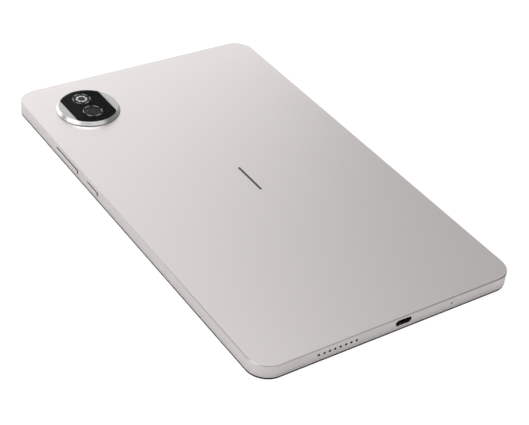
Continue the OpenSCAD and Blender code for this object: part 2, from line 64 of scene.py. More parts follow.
# ---------------------------------------------------------------- Camera
# A long lens on a stand looks down across the near left corner of the tablet.
# The camera leans a few degrees, so the short end runs up to the right.
look_at = Vector((-3 * mm, -19.8 * mm, 0))
heading, rise, lean = (math.radians(a) for a in (-37.4, 36.5, 6.7))
stand_off = 677 * mm
back = Vector((math.sin(heading) * math.cos(rise), -math.cos(heading) * math.cos(rise), math.sin(rise)))

camera = bpy.data.objects.new("camera", bpy.data.cameras.new("camera"))
bpy.context.scene.collection.objects.link(camera)
camera.location = look_at + back * stand_off
camera.rotation_mode = "QUATERNION"
camera.rotation_quaternion = (
    (-back).to_track_quat("-Z", "Y") @ Matrix.Rotation(lean, 3, "Z").to_quaternion())
camera.data.sensor_width = 36
camera.data.lens = 89.9
camera.data.clip_start = 0.01
camera.data.clip_end = 20
bpy.context.scene.camera = camera

# ---------------------------------------------------------------- Floor and light
# A white seamless table in a dim studio. Lamps behind the far left corner and
# above make the satin back fade from its camera end to its port end.
floor_size = 6.0
floor_gap = 0.02 * mm
bpy.ops.object.select_all(action="DESELECT")
bpy.ops.mesh.primitive_plane_add(size=floor_size, location=(0, 0, cad_low.z - floor_gap))
floor = bpy.context.active_object
floor.name = "table_top"
table_paper = bpy.data.materials.new("table_paper")
table_paper.use_nodes = True
nodes_in, link = table_paper.node_tree.nodes, table_paper.node_tree.links.new
paper = nodes_in["Principled BSDF"]
paper.inputs["Base Color"].default_value = (0.8, 0.8, 0.8, 1)
paper.inputs["Roughness"].default_value = 0.9
backlit, seen, share, mixed = (nodes_in.new("ShaderNode" + kind)
                               for kind in ("Emission", "LightPath", "Math", "MixShader"))
backlit.inputs["Strength"].default_value = 1.12
share.operation = "MULTIPLY"
share.inputs[1].default_value = 0.82
link(seen.outputs["Is Camera Ray"], share.inputs[0])
link(share.outputs[0], mixed.inputs[0])
link(paper.outputs[0], mixed.inputs[1])
link(backlit.outputs[0], mixed.inputs[2])
link(mixed.outputs[0], nodes_in["Material Output"].inputs["Surface"])
floor.data.materials.append(table_paper)

world = bpy.data.worlds.new("dim_studio")
world.use_nodes = True
bpy.context.scene.world = world
nodes_in, link = world.node_tree.nodes, world.node_tree.links.new
room = nodes_in["Background"]
room.inputs["Color"].default_value = (1, 1, 1, 1)
way_out, slope, level = (nodes_in.new("ShaderNode" + kind) for kind in ("TexCoord", "VectorMath", "Math"))
slope.operation = "DOT_PRODUCT"
slope.inputs[1].default_value = (0, 0.12, 0.09)
level.inputs[1].default_value = 0.2
link(way_out.outputs["Generated"], slope.inputs[0])
link(slope.outputs["Value"], level.inputs[0])
link(level.outputs[0], room.inputs["Strength"])

# Each lamp's heading runs clockwise from +Y and its rise is from the table, in degrees.
softbox_size, softbox_distance = 1.2, 1.6
for lamp_name, lamp_heading, lamp_rise, watts in (
        ("far_left_low", -25, 15, 5), ("far_left", -40, 60, 2.5), ("far_low", 20, 8, 5), ("far", 0, 25, 1.5),
        ("far_right", 45, 32, 0.9), ("far_high", 10, 55, 1), ("overhead", 0, 85, 11), ("left", -90, 35, 6),
        ("near_left", -145, 40, 2), ("near", 165, 33, 2.5)):
    lamp = bpy.data.objects.new(lamp_name + "_softbox", bpy.data.lights.new(lamp_name + "_softbox", "AREA"))
    lamp.data.size = softbox_size
    lamp.data.energy = watts
    turn, tip = math.radians(lamp_heading), math.radians(lamp_rise)
    way = Vector((math.sin(turn) * math.cos(tip), math.cos(turn) * math.cos(tip), math.sin(tip)))
    lamp.location = way * softbox_distance
    lamp.rotation_mode = "QUATERNION"
    lamp.rotation_quaternion = way.to_track_quat("Z", "Y")
    bpy.context.scene.collection.objects.link(lamp)

bpy.context.scene.view_settings.view_transform = "Standard"
bpy.context.scene.cycles.use_denoising = True

# ---------------------------------------------------------------- Rear housing
# One tray milled from a block of aluminium, bead-blasted and anodised a warm silver.
# Its floor is the tablet's back and its walls are the sides.


def pattern(name, draw):
    """Shader group that turns the grey mask made by draw() into a colour, a roughness and a height."""
    group = bpy.data.node_groups.new(name, "ShaderNodeTree")
    face = group.interface
    for socket, kind in (("Colour", "NodeSocketColor"), ("Second colour", "NodeSocketColor"),
                         ("Roughness", "NodeSocketFloat"), ("Roughness spread", "NodeSocketFloat"),
                         ("Scale", "NodeSocketFloat"), ("Centre", "NodeSocketVector")):
        face.new_socket(socket, in_out="INPUT", socket_type=kind)
    for socket, kind in (("Colour", "NodeSocketColor"), ("Roughness", "NodeSocketFloat"),
                         ("Height", "NodeSocketFloat")):
        face.new_socket(socket, in_out="OUTPUT", socket_type=kind)
    make, join = group.nodes.new, group.links.new
    given, result = make("NodeGroupInput"), make("NodeGroupOutput")
    place = make("ShaderNodeTexCoord")
    shift = make("ShaderNodeVectorMath")
    shift.operation = "SUBTRACT"
    join(place.outputs["Object"], shift.inputs[0])
    join(given.outputs["Centre"], shift.inputs[1])
    mask = draw(group, shift.outputs[0], given.outputs["Scale"])
    blend = make("ShaderNodeMix")
    blend.data_type = "RGBA"
    join(mask, blend.inputs["Factor"])
    join(given.outputs["Colour"], blend.inputs["A"])
    join(given.outputs["Second colour"], blend.inputs["B"])
    join(blend.outputs["Result"], result.inputs["Colour"])
    spread = make("ShaderNodeMath")
    spread.operation = "MULTIPLY_ADD"
    join(mask, spread.inputs[0])
    join(given.outputs["Roughness spread"], spread.inputs[1])
    join(given.outputs["Roughness"], spread.inputs[2])
    join(spread.outputs[0], result.inputs["Roughness"])
    join(mask, result.inputs["Height"])
    return group


def draw_grain(group, place, scale):
    """Fine even speckle with slow clouding, as blasting or moulding leaves."""
    fine, cloud = (group.nodes.new("ShaderNodeTexNoise") for _ in range(2))
    fine.inputs["Detail"].default_value = 3
    cloud.inputs["Scale"].default_value = 35
    cloud.inputs["Detail"].default_value = 2
    mixed = group.nodes.new("ShaderNodeMix")
    mixed.inputs["Factor"].default_value = 0.45
    for noise in (fine, cloud):
        group.links.new(place, noise.inputs["Vector"])
    group.links.new(scale, fine.inputs["Scale"])
    group.links.new(fine.outputs["Fac"], mixed.inputs["A"])
    group.links.new(cloud.outputs["Fac"], mixed.inputs["B"])
    return mixed.outputs["Result"]


grain = pattern("blasted_grain", draw_grain)


def finish(name, group, colours, roughness, spread=0.05, scale=2500, relief=0.0, centre=(0, 0, 0),
           metallic=0.0, **fixed):
    """Material from one pattern group. relief is the pattern's depth in metres."""
    material = bpy.data.materials.new(name)
    material.use_nodes = True
    tree = material.node_tree
    shader = tree.nodes["Principled BSDF"]
    shader.inputs["Metallic"].default_value = metallic
    for socket, value in fixed.items():
        shader.inputs[socket.replace("_", " ")].default_value = value
    texture = tree.nodes.new("ShaderNodeGroup")
    texture.node_tree = group
    for socket, value in (("Colour", (*colours[0], 1)), ("Second colour", (*colours[1], 1)),
                          ("Roughness", roughness), ("Roughness spread", spread),
                          ("Scale", scale), ("Centre", centre)):
        texture.inputs[socket].default_value = value
    tree.links.new(texture.outputs["Colour"], shader.inputs["Base Color"])
    tree.links.new(texture.outputs["Roughness"], shader.inputs["Roughness"])
    if relief:
        bump = tree.nodes.new("ShaderNodeBump")
        bump.inputs["Distance"].default_value = relief
        tree.links.new(texture.outputs["Height"], bump.inputs["Height"])
        tree.links.new(bump.outputs["Normal"], shader.inputs["Normal"])
    return material


def paint(piece, material):
    """Gives a piece, or a CAD node, one material all over."""
    if not piece.material_slots:
        piece.data.materials.append(None)
    piece.material_slots[0].material = material


def only(piece):
    """Makes one piece the active and only selected one."""
    bpy.ops.object.select_all(action="DESELECT")
    piece.select_set(True)
    bpy.context.view_layer.objects.active = piece


def rounded_block(name, width, length, radius, low, high, segments=24):
    """Block with round corners seen from above, between two heights."""
    bpy.ops.object.select_all(action="DESELECT")
    bpy.ops.mesh.primitive_plane_add(size=1, location=(0, 0, low))
    block = bpy.context.active_object
    block.name = name
    block.scale = (width, length, 1)
    bpy.ops.object.transform_apply(location=True, rotation=True, scale=True)
    bpy.ops.object.mode_set(mode="EDIT")
    bpy.ops.mesh.select_all(action="SELECT")
    bpy.ops.mesh.bevel(offset=radius, segments=segments, affect="VERTICES")
    bpy.ops.mesh.select_all(action="SELECT")
    bpy.ops.mesh.extrude_region_move(TRANSFORM_OT_translate={"value": (0, 0, high - low)})
    bpy.ops.mesh.select_all(action="SELECT")
    bpy.ops.mesh.normals_make_consistent(inside=False)
    bpy.ops.object.mode_set(mode="OBJECT")
    return block


def bevel_edges(piece, width, segments, chosen):
    """Rounds the sharp edges whose two ends chosen() accepts."""
    only(piece)
    bpy.ops.object.mode_set(mode="EDIT")
    bpy.ops.mesh.select_mode(type="EDGE")
    bpy.ops.mesh.select_all(action="DESELECT")
    bpy.ops.mesh.edges_select_sharp(sharpness=math.radians(20))
    bpy.ops.object.mode_set(mode="OBJECT")
    points = piece.data.vertices
    for point_or_face in (*points, *piece.data.polygons):
        point_or_face.select = False
    for edge in piece.data.edges:
        edge.select = edge.select and chosen(points[edge.vertices[0]].co, points[edge.vertices[1]].co)
    bpy.ops.object.mode_set(mode="EDIT")
    bpy.ops.mesh.bevel(offset=width, segments=segments, affect="EDGES", clamp_overlap=True)
    bpy.ops.object.mode_set(mode="OBJECT")


def cut(piece, *tools, operation="DIFFERENCE"):
    """Takes the tools' shapes out of the piece, or adds them to it."""
    for tool in tools:
        step = piece.modifiers.new("cut", "BOOLEAN")
        step.operation = operation
        step.solver = "EXACT"
        step.object = tool
        only(piece)
        bpy.ops.object.modifier_apply(modifier=step.name)
        bpy.data.objects.remove(tool)


def smooth(piece, angle=30):
    """Smooth shading with flat faces kept flat."""
    only(piece)
    bpy.ops.object.shade_smooth_by_angle(angle=math.radians(angle))
    step = piece.modifiers.new("even", "WEIGHTED_NORMAL")
    step.keep_sharp = True
    bpy.ops.object.modifier_apply(modifier=step.name)


riders = {node: body for body, members in frame["record"]["behaviour"]["bodies"].items() for node in members}


def settle(piece, node, replace=True):
    """The piece rides on the CAD node's body and stands for it: the node is hidden unless replace is false.
    """
    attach(piece, riders[node])
    if replace:
        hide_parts(node)


def pill_bar(name, centre, length, height, depth, axis, segments=16):
    """Bar with a pill-shaped section, lying along X or Y, made from a rounded block turned on its side."""
    bar = rounded_block(name, length, height, height / 2 * 0.9999, -depth / 2, depth / 2, segments)
    turn = Matrix.Rotation(math.radians(90), 4, "X")
    if axis == "X":
        turn = Matrix.Rotation(math.radians(90), 4, "Z") @ turn
    bar.data.transform(Matrix.Translation(centre) @ turn)
    return bar


def drill(radius, centre, depth, axis, sides=32):
    """Round rod that cuts a hole."""
    turns = {"X": (0, math.radians(90), 0), "Y": (math.radians(90), 0, 0), "Z": (0, 0, 0)}
    bpy.ops.object.select_all(action="DESELECT")
    bpy.ops.mesh.primitive_cylinder_add(vertices=sides, radius=radius, depth=depth, location=centre,
                                        rotation=turns[axis])
    rod = bpy.context.active_object
    bpy.ops.object.transform_apply(location=True, rotation=True, scale=True)
    return rod


shell_low, shell_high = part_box("rear_housing")
wall = 1.6 * mm
skin = 0.8 * mm
corner = 11 * mm
edge_cut = 0.4 * mm
rim_round = 0.06 * mm
hair = 1e-6
side_x = shell_high.x
end_y = shell_high.y

shell = rounded_block("rear_shell", 2 * side_x, 2 * end_y, corner, shell_low.z, shell_high.z, 32)
bevel_edges(shell, edge_cut, 1, lambda a, b: min(a.z, b.z) > shell_high.z - hair)
bevel_edges(shell, rim_round, 2, lambda a, b: max(a.z, b.z) < shell_low.z + hair)
cut(shell, rounded_block("inside", 2 * (side_x - wall), 2 * (end_y - wall), corner - wall,
                         shell_low.z - mm, shell_high.z - skin, 24))

ring_low, ring_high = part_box("camera_ring")
island = Vector(((ring_low.x + ring_high.x) / 2, (ring_low.y + ring_high.y) / 2, ring_high.z))
island_bore = 16.2 * mm
cut(shell, drill(island_bore, (island.x, island.y, shell_high.z), 4 * mm, "Z", 160))

# The power key's stop flange inside is longer than its cap, so its slot has a length of its own.
wall_cut = 6 * mm
key_gap = 0.15 * mm
key_boxes = {name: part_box(name) for name in ("volume_key", "power_key")}
key_height = 2.2 * mm
key_lengths = {name: high.y - low.y for name, (low, high) in key_boxes.items()}
key_lengths["power_key"] = 12 * mm
key_middles = {name: (low.y + high.y) / 2 for name, (low, high) in key_boxes.items()}
key_level = 4 * mm
for name, middle in key_middles.items():
    cut(shell, pill_bar("slot", (-side_x, middle, key_level), key_lengths[name] + 2 * key_gap,
                        key_height + 2 * key_gap, wall_cut, "X"))

port_low, port_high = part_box("usb_shell")
port_middle = Vector(((port_low.x + port_high.x) / 2, -end_y, (port_low.z + port_high.z) / 2))
port_width, port_height = 9.3 * mm, 3.3 * mm
cut(shell, pill_bar("mouth", port_middle, port_width, port_height, wall_cut, "Y"))

grille_radius, grille_pitch, grille_level, holes = 0.7 * mm, 3.02 * mm, 4.5 * mm, 8
for mesh_node, end in (("bottom_speaker_mesh", -end_y), ("top_speaker_mesh", end_y)):
    low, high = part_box(mesh_node)
    middle = (low.x + high.x) / 2
    for number in range(holes):
        x = middle + (number - (holes - 1) / 2) * grille_pitch
        cut(shell, drill(grille_radius, (x, end, grille_level), wall_cut, "Y", 24))
boot_low, boot_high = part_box("microphone_boot")
microphone_x = (boot_low.x + boot_high.x) / 2
microphone_radius, microphone_level = 0.5 * mm, 4.3 * mm
cut(shell, drill(microphone_radius, (microphone_x, -end_y, microphone_level), wall_cut, "Y", 24))


def on_outer_wall(a, b):
    """True for an edge of a hole, where it breaks through the end or side."""
    for axis, place, outline in ((1, end_y, side_x - corner), (0, side_x, end_y - corner)):
        other = 1 - axis
        if all(abs(abs(p[axis]) - place) < hair and abs(p[other]) < outline - mm
               and shell_low.z + 0.5 * mm < p.z < shell_high.z - 0.5 * mm for p in (a, b)):
            return True
    return False


lip = 0.04 * mm
bevel_edges(shell, lip, 2, on_outer_wall)
smooth(shell)


def mark(piece, material, chosen):
    """Gives one more material to the faces that chosen() accepts by middle and normal."""
    piece.data.materials.append(material)
    for face in piece.data.polygons:
        if chosen(face.center, face.normal):
            face.material_index = len(piece.data.materials) - 1


def depth_in(point):
    """How far a point lies inside the straight sides and ends."""
    return min(side_x - abs(point.x), end_y - abs(point.y))


def on_straight(point):
    """True beside a straight wall, between the rim and the back, away from the corners."""
    return ((abs(point.x) < side_x - corner or abs(point.y) < end_y - corner)
            and shell_low.z + 0.3 * mm < point.z < shell_high.z - 2 * edge_cut)


satin_silver = finish("satin_silver", grain, ((0.75, 0.715, 0.705), (0.71, 0.675, 0.665)), 0.33, 0.05,
                      scale=4000, relief=0.000002, metallic=1.0)
# Painted shade: the cut chamfer round the rim is coloured a darker silver than the back, standing in for the
# darker light it catches.
chamfer_painted_shade = finish("chamfer_silver_painted_shade", grain, ((0.58, 0.555, 0.55), (0.54, 0.515, 0.51)), 0.28, 0.05,
                    scale=4000, relief=0.000001, metallic=1.0)
# Painted shade: a near-black colour for the walls deep inside the holes and slots, standing in for the shade
# that falls in them.
painted_shade_bore = finish("painted_shade_in_bores", grain, ((0.012, 0.012, 0.012), (0.02, 0.02, 0.02)), 0.6, 0.1,
                   scale=3000, relief=0.000004, Specular_IOR_Level=0.2)
paint(shell, satin_silver)
# Painted shade: the rim chamfer gets the darker silver.
mark(shell, chamfer_painted_shade, lambda middle, normal: middle.z > shell_high.z - edge_cut and 0.1 < normal.z < 0.95)
# Painted shade: the hole and slot walls beyond the lip get the near-black colour.
mark(shell, painted_shade_bore,
     lambda middle, normal: on_straight(middle) and lip < depth_in(middle) < wall - 0.01 * mm)
settle(shell, "rear_housing")

# ---------------------------------------------------------------- Back inlay
# A plain pill-shaped strip of dark enamelled aluminium, glued into a shallow
# pocket in the middle of the back.


def finished_copy(node, name, soften=0.0, segments=2, angle=30):
    """Clean copy of a CAD node's shape, with its sharp edges softened, in that node's place."""
    piece = bpy.data.objects.new(name, nodes[node].data.copy())
    bpy.context.scene.collection.objects.link(piece)
    only(piece)
    bpy.ops.mesh.customdata_custom_splitnormals_clear()
    bpy.ops.object.mode_set(mode="EDIT")
    bpy.ops.mesh.select_all(action="SELECT")
    bpy.ops.mesh.remove_doubles(threshold=1e-6)
    bpy.ops.mesh.dissolve_limited(angle_limit=math.radians(0.5))
    bpy.ops.object.mode_set(mode="OBJECT")
    if soften:
        step = piece.modifiers.new("soften", "BEVEL")
        step.width = soften
        step.segments = segments
        step.limit_method = "ANGLE"
        step.angle_limit = math.radians(angle)
        bpy.ops.object.modifier_apply(modifier=step.name)
    smooth(piece, angle)
    settle(piece, node)
    return piece


inlay = finished_copy("rear_badge", "back_inlay", 0.02 * mm)
paint(inlay, finish("dark_enamel", grain, ((0.07, 0.068, 0.066), (0.055, 0.053, 0.052)), 0.42, scale=5000,
                    relief=0.000001, Specular_IOR_Level=0.3))

# ---------------------------------------------------------------- Camera island ring
# A turned aluminium disc with a diamond-cut bevel, pressed into the hole in the
# back. Its two flats beside the window are finely ring-turned.


def draw_rings(group, place, scale):
    """Fine concentric tool marks round the centre."""
    wave = group.nodes.new("ShaderNodeTexWave")
    wave.wave_type = "RINGS"
    wave.rings_direction = "Z"
    wave.inputs["Distortion"].default_value = 0.4
    wave.inputs["Detail"].default_value = 1
    group.links.new(place, wave.inputs["Vector"])
    group.links.new(scale, wave.inputs["Scale"])
    return wave.outputs["Fac"]


rings = pattern("turned_rings", draw_rings)
ring = finished_copy("camera_ring", "camera_island_ring", 0.05 * mm)
paint(ring, finish("diamond_cut", grain, ((0.9, 0.895, 0.89), (0.87, 0.865, 0.86)), 0.26, 0.03, metallic=1.0))
foot = shell_high.z + 0.5 * mm
inner_reach = 15 * mm
# Painted shade: the ring's foot, below its bevel, is coloured a dark grey standing in for the shade in the
# gap at its base.
mark(ring, finish("ring_foot_painted_shade", grain, ((0.4, 0.395, 0.39), (0.36, 0.355, 0.35)), 0.3, 0.05, metallic=1.0),
     lambda middle, normal: middle.z < foot)
# Painted shade: the ring's bore below the window gets the near-black colour that stands in for shade.
mark(ring, painted_shade_bore, lambda middle, normal: middle.z < island.z - 0.5 * mm
     and math.hypot(middle.x - island.x, middle.y - island.y) < inner_reach)
mark(ring, finish("turned_flats", rings, ((0.53, 0.52, 0.515), (0.42, 0.415, 0.41)), 0.3, 0.12,
                  scale=900, relief=0.000006, centre=island, metallic=1.0),
     lambda middle, normal: normal.z > 0.99 and middle.z > island.z - 0.01 * mm)

# ---------------------------------------------------------------- Camera window
# One slab of clear glass with a polished edge, cut to a circle with two straight
# sides. It is glued over black foam, so it looks black except at the two openings.
window = finished_copy("camera_window", "camera_window_glass", 0.1 * mm, 3)


def draw_smears(group, place, scale):
    """Soft wiped smears, as fingers and a cloth leave."""
    noise = group.nodes.new("ShaderNodeTexNoise")
    noise.inputs["Detail"].default_value = 3
    noise.inputs["Distortion"].default_value = 1.2
    group.links.new(place, noise.inputs["Vector"])
    group.links.new(scale, noise.inputs["Scale"])
    return noise.outputs["Fac"]


smears = pattern("wiped_smears", draw_smears)


def clear_glass(name, index, roughness):
    """Clear glass. An index under 1.5 stands for a coating that cuts its reflections."""
    return finish(name, smears, ((1, 1, 1), (0.97, 0.97, 0.98)), roughness, 0.02, scale=60, IOR=index,
                  Transmission_Weight=1.0)


paint(window, clear_glass("window_glass", 1.17, 0.06))
black_foam = finish("black_foam", grain, ((0.002, 0.002, 0.0025), (0.004, 0.004, 0.0045)), 0.8, 0.15,
                    scale=6000, relief=0.00002, Specular_IOR_Level=0.1)
paint(nodes["camera_gasket"], black_foam)

# ---------------------------------------------------------------- Lens and lamp trims
# Two turned rings, dyed black, that lie round the lens and the lamp under the
# window. Each carries six bright metal arcs that are painted highlights,
# standing in for the glints on the rings.


def ring_arcs(name, centre, radius, width, depth, count, sweep, slant=0.0):
    """Arcs of one flat ring, evenly spaced: each is a small upright face spun part of the way round."""
    parts = []
    for number in range(count):
        turn = number * 2 * math.pi / count
        bpy.ops.object.select_all(action="DESELECT")
        bpy.ops.mesh.primitive_plane_add(size=1, location=(0, 0, 0))
        part = bpy.context.active_object
        upright = Matrix.Rotation(math.radians(90), 4, "X") @ Matrix.Diagonal((width, depth, 1, 1))
        part.data.transform(Matrix.Translation((radius, 0, depth / 2)) @ upright)
        bpy.ops.object.mode_set(mode="EDIT")
        bpy.ops.mesh.select_all(action="SELECT")
        bpy.ops.mesh.spin(steps=10, angle=math.radians(sweep), center=(0, 0, 0), axis=(0, 0, 1))
        bpy.ops.mesh.select_all(action="SELECT")
        bpy.ops.mesh.remove_doubles(threshold=1e-7)
        bpy.ops.mesh.normals_make_consistent(inside=False)
        bpy.ops.object.mode_set(mode="OBJECT")
        for point in part.data.vertices:
            lead = slant * (math.hypot(point.co.x, point.co.y) - radius) / width
            point.co.rotate(Matrix.Rotation(turn + math.radians(lead), 3, "Z"))
        part.data.transform(Matrix.Translation(centre))
        parts.append(part)
    bpy.ops.object.select_all(action="DESELECT")
    for part in parts:
        part.select_set(True)
    bpy.context.view_layer.objects.active = parts[0]
    bpy.ops.object.join()
    parts[0].name = name
    bevel_edges(parts[0], 0.03 * mm, 2, lambda a, b: min(a.z, b.z) > centre[2] + depth - 1e-7)
    smooth(parts[0])
    return parts[0]


trim_black = finish("black_dyed_trim", rings, ((0.003, 0.003, 0.0035), (0.006, 0.006, 0.0065)), 0.5, 0.1,
                    scale=1500, relief=0.000004, Specular_IOR_Level=0.05)
# Painted highlights: bright metal arcs on the black trims stand in for the glints on them.
painted_glint_arc_metal = finish("painted_glint_arcs", grain, ((0.55, 0.55, 0.55), (0.45, 0.45, 0.45)), 0.4, 0.08, metallic=1.0)
arc_inset, arc_width, arc_depth = 0.35 * mm, 0.38 * mm, 0.02 * mm
for node in ("lens_trim", "lamp_trim"):
    low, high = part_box(node)
    middle = (low + high) / 2
    trim = finished_copy(node, node + "_ring", 0.05 * mm)
    paint(trim, trim_black)
    arcs = ring_arcs(node + "_arcs", (middle.x, middle.y, high.z), (high.x - low.x) / 2 - arc_inset,
                     arc_width, arc_depth, 6, 34)
    paint(arcs, painted_glint_arc_metal)
    settle(arcs, node, replace=False)

# ---------------------------------------------------------------- Main lens
# A black moulded barrel that its voice coil lifts to focus, with a domed front
# element whose anti-reflection coating shows violet.
barrel = finished_copy("rear_camera_lens", "focus_barrel", 0.03 * mm)
lens_low, lens_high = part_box("rear_camera_lens")
lens_middle = (lens_low + lens_high) / 2
paint(barrel, finish("barrel_black", rings, ((0.002, 0.002, 0.0025), (0.005, 0.005, 0.0055)), 0.5, 0.15,
                     scale=2500, relief=0.000008, centre=lens_middle, Specular_IOR_Level=0.05))
element_radius, element_rise = 2.75 * mm, 0.25 * mm
element_seat = lens_high.z - 0.15 * mm
element_back = element_seat - 0.05 * mm
bpy.ops.object.select_all(action="DESELECT")
bpy.ops.mesh.primitive_uv_sphere_add(segments=96, ring_count=64, radius=1,
                                     location=(lens_middle.x, lens_middle.y, element_seat),
                                     scale=(element_radius, element_radius, element_rise))
element = bpy.context.active_object
element.name = "front_element"
bpy.ops.object.transform_apply(location=True, rotation=True, scale=True)
bpy.ops.object.mode_set(mode="EDIT")
bpy.ops.mesh.select_all(action="SELECT")
bpy.ops.mesh.bisect(plane_co=(0, 0, element_back), plane_no=(0, 0, -1), clear_outer=True, use_fill=True,
                    threshold=1e-7)
bpy.ops.object.mode_set(mode="OBJECT")
smooth(element, 40)
paint(element, finish("violet_coating", rings, ((0.011, 0.008, 0.024), (0.003, 0.002, 0.007)), 0.08, 0.04,
                      scale=190, centre=lens_middle, IOR=1.3, Specular_IOR_Level=0.15))
settle(element, "rear_camera_lens", replace=False)

# ---------------------------------------------------------------- Camera module
# The lens sits in a moulded carrier on a small board, whose flat cable runs
# back to the main board.
paint(nodes["rear_camera_body"], finish("carrier_plastic", grain, ((0.03, 0.03, 0.032), (0.02, 0.02, 0.022)),
                                        0.5, 0.1, scale=3500, relief=0.00001))


def draw_tracks(group, place, scale):
    """Thin copper tracks and pads under solder mask."""
    brick, dots = group.nodes.new("ShaderNodeTexBrick"), group.nodes.new("ShaderNodeTexVoronoi")
    for socket, value in (("Color1", (0, 0, 0, 1)), ("Color2", (0.15, 0.15, 0.15, 1)),
                          ("Mortar", (1, 1, 1, 1)), ("Mortar Size", 0.03), ("Brick Width", 0.9),
                          ("Row Height", 0.3)):
        brick.inputs[socket].default_value = value
    near = group.nodes.new("ShaderNodeMath")
    near.operation = "LESS_THAN"
    near.inputs[1].default_value = 0.16
    both = group.nodes.new("ShaderNodeMath")
    both.operation = "MAXIMUM"
    for texture in (brick, dots):
        group.links.new(place, texture.inputs["Vector"])
        group.links.new(scale, texture.inputs["Scale"])
    group.links.new(dots.outputs["Distance"], near.inputs[0])
    group.links.new(near.outputs[0], both.inputs[0])
    group.links.new(brick.outputs["Color"], both.inputs[1])
    return both.outputs[0]


tracks = pattern("circuit_tracks", draw_tracks)
solder_mask = finish("solder_mask", tracks, ((0.008, 0.055, 0.035), (0.03, 0.13, 0.075)), 0.35, 0.15,
                     scale=900, relief=0.00002)
paint(nodes["rear_camera_board"], solder_mask)

# ---------------------------------------------------------------- Lamp
# A smoked plastic cup on a small pale board holds eight slanted milky blades that
# spread the lamp's light into a ring round its dark middle.
paint(nodes["flash_board"], finish("lamp_board", tracks, ((0.75, 0.72, 0.5), (0.8, 0.6, 0.2)), 0.4, 0.1,
                                   scale=900, relief=0.00001))
paint(nodes["flash_lens"], finish("smoked_cup", grain, ((0.01, 0.01, 0.0105), (0.016, 0.016, 0.0165)), 0.4,
                                  0.05, scale=4000, relief=0.000004, Specular_IOR_Level=0.1))
cup_low, cup_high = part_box("flash_lens")
cup_middle = (cup_low + cup_high) / 2
blade_reach, blade_width, blade_depth = 2.55 * mm, 1.1 * mm, 0.03 * mm
blades = ring_arcs("lamp_blades", (cup_middle.x, cup_middle.y, cup_high.z), blade_reach, blade_width,
                   blade_depth, 8, 33, slant=22.0)
paint(blades, finish("milky_blade", grain, ((0.85, 0.85, 0.84), (0.78, 0.78, 0.77)), 0.35, 0.1, scale=3000,
                     relief=0.000004))
settle(blades, "flash_lens", replace=False)

# ---------------------------------------------------------------- Side keys
# Two keys milled from the same aluminium as the housing, blasted and dyed with
# it. The long one rocks for volume and the short one presses straight in.
key_silver = finish("key_silver", grain, ((0.75, 0.715, 0.705), (0.71, 0.675, 0.665)), 0.3, 0.05, scale=4000,
                    relief=0.000002, metallic=1.0)
for node in ("volume_key", "power_key"):
    cap = finished_copy(node, node + "_cap", 0.05 * mm)
    paint(cap, key_silver)
    # Painted shade: the caps' edges get the darker chamfer silver, and their parts inside the wall the
    # near-black colour that stands in for shade in the slot.
    mark(cap, chamfer_painted_shade, lambda middle, normal: middle.x < -side_x and abs(normal.x) < 0.95)
    mark(cap, painted_shade_bore, lambda middle, normal: middle.x > -side_x + lip)

# ---------------------------------------------------------------- Key switches
# Three sprung steel domes on a flat cable, backed by a stamped steel bracket
# that two screws hold to the housing's floor.


def draw_brushed(group, place, scale):
    """Long fine lines, as rolling or brushing leaves."""
    stretch = group.nodes.new("ShaderNodeVectorMath")
    stretch.operation = "MULTIPLY"
    stretch.inputs[1].default_value = (1.0, 0.03, 1.0)
    noise = group.nodes.new("ShaderNodeTexNoise")
    noise.inputs["Detail"].default_value = 4
    group.links.new(place, stretch.inputs[0])
    group.links.new(stretch.outputs[0], noise.inputs["Vector"])
    group.links.new(scale, noise.inputs["Scale"])
    return noise.outputs["Fac"]


brushed = pattern("brushed_lines", draw_brushed)
steel_sheet = finish("steel_sheet", brushed, ((0.62, 0.62, 0.63), (0.5, 0.5, 0.51)), 0.25, 0.2, scale=1500,
                     relief=0.000004, metallic=1.0)
screw_steel = finish("screw_steel", rings, ((0.48, 0.48, 0.49), (0.4, 0.4, 0.41)), 0.25, 0.15, scale=1500,
                     relief=0.000004, metallic=1.0)
copper_flex = finish("copper_flex", brushed, ((0.72, 0.36, 0.07), (0.5, 0.22, 0.04)), 0.25, 0.15, scale=900,
                     relief=0.000006, Coat_Weight=0.4)
paint(nodes["key_bracket"], steel_sheet)
paint(nodes["key_domes"], steel_sheet)
paint(nodes["key_screws"], screw_steel)
paint(nodes["key_flex"], copper_flex)

# ---------------------------------------------------------------- Battery
# Two flat pouch cells in black film, joined by tabs to one protection board and
# held to the housing's floor by pull-out adhesive strips.
pouch = finish("pouch_film", grain, ((0.035, 0.036, 0.038), (0.05, 0.051, 0.054)), 0.35, 0.2, scale=700,
               relief=0.00004, Coat_Weight=0.3)
for node in ("battery_left", "battery_right"):
    paint(finished_copy(node, node + "_pouch", 0.6 * mm, 4), pouch)
paint(nodes["battery_board"], solder_mask)
paint(nodes["battery_tape"], finish("pull_tape", brushed, ((0.85, 0.85, 0.8), (0.75, 0.75, 0.7)), 0.5, 0.2,
                                    scale=600, relief=0.00001))

# ---------------------------------------------------------------- Main board
# A green laminate board under the back, with its chips face down and tinned
# steel cans over them. Five screws hold it to posts in the housing.
paint(nodes["main_board"], solder_mask)
chip_resin = finish("chip_resin", grain, ((0.03, 0.03, 0.032), (0.045, 0.045, 0.047)), 0.45, 0.15, scale=3000,
                    relief=0.000006)
for node in ("processor", "memory_chip", "power_chips", "radio_chip"):
    paint(nodes[node], chip_resin)
tin_plate = finish("tin_plate", brushed, ((0.7, 0.7, 0.7), (0.62, 0.62, 0.62)), 0.22, 0.25, scale=700,
                   relief=0.000006, metallic=1.0)
paint(nodes["shield_cans"], tin_plate)
paint(nodes["main_board_screws"], screw_steel)

# ---------------------------------------------------------------- Sub board
# A narrow second board behind the port end, joined to the main board by a long
# flat cable beside the battery. It carries the port and the microphone.
paint(nodes["sub_board"], solder_mask)
paint(nodes["sub_board_screws"], screw_steel)
paint(nodes["board_link_flex"], copper_flex)
gold = finish("gold_plate", grain, ((0.85, 0.62, 0.24), (0.78, 0.55, 0.2)), 0.2, 0.1, scale=5000,
              metallic=1.0)
paint(nodes["microphone"], gold)
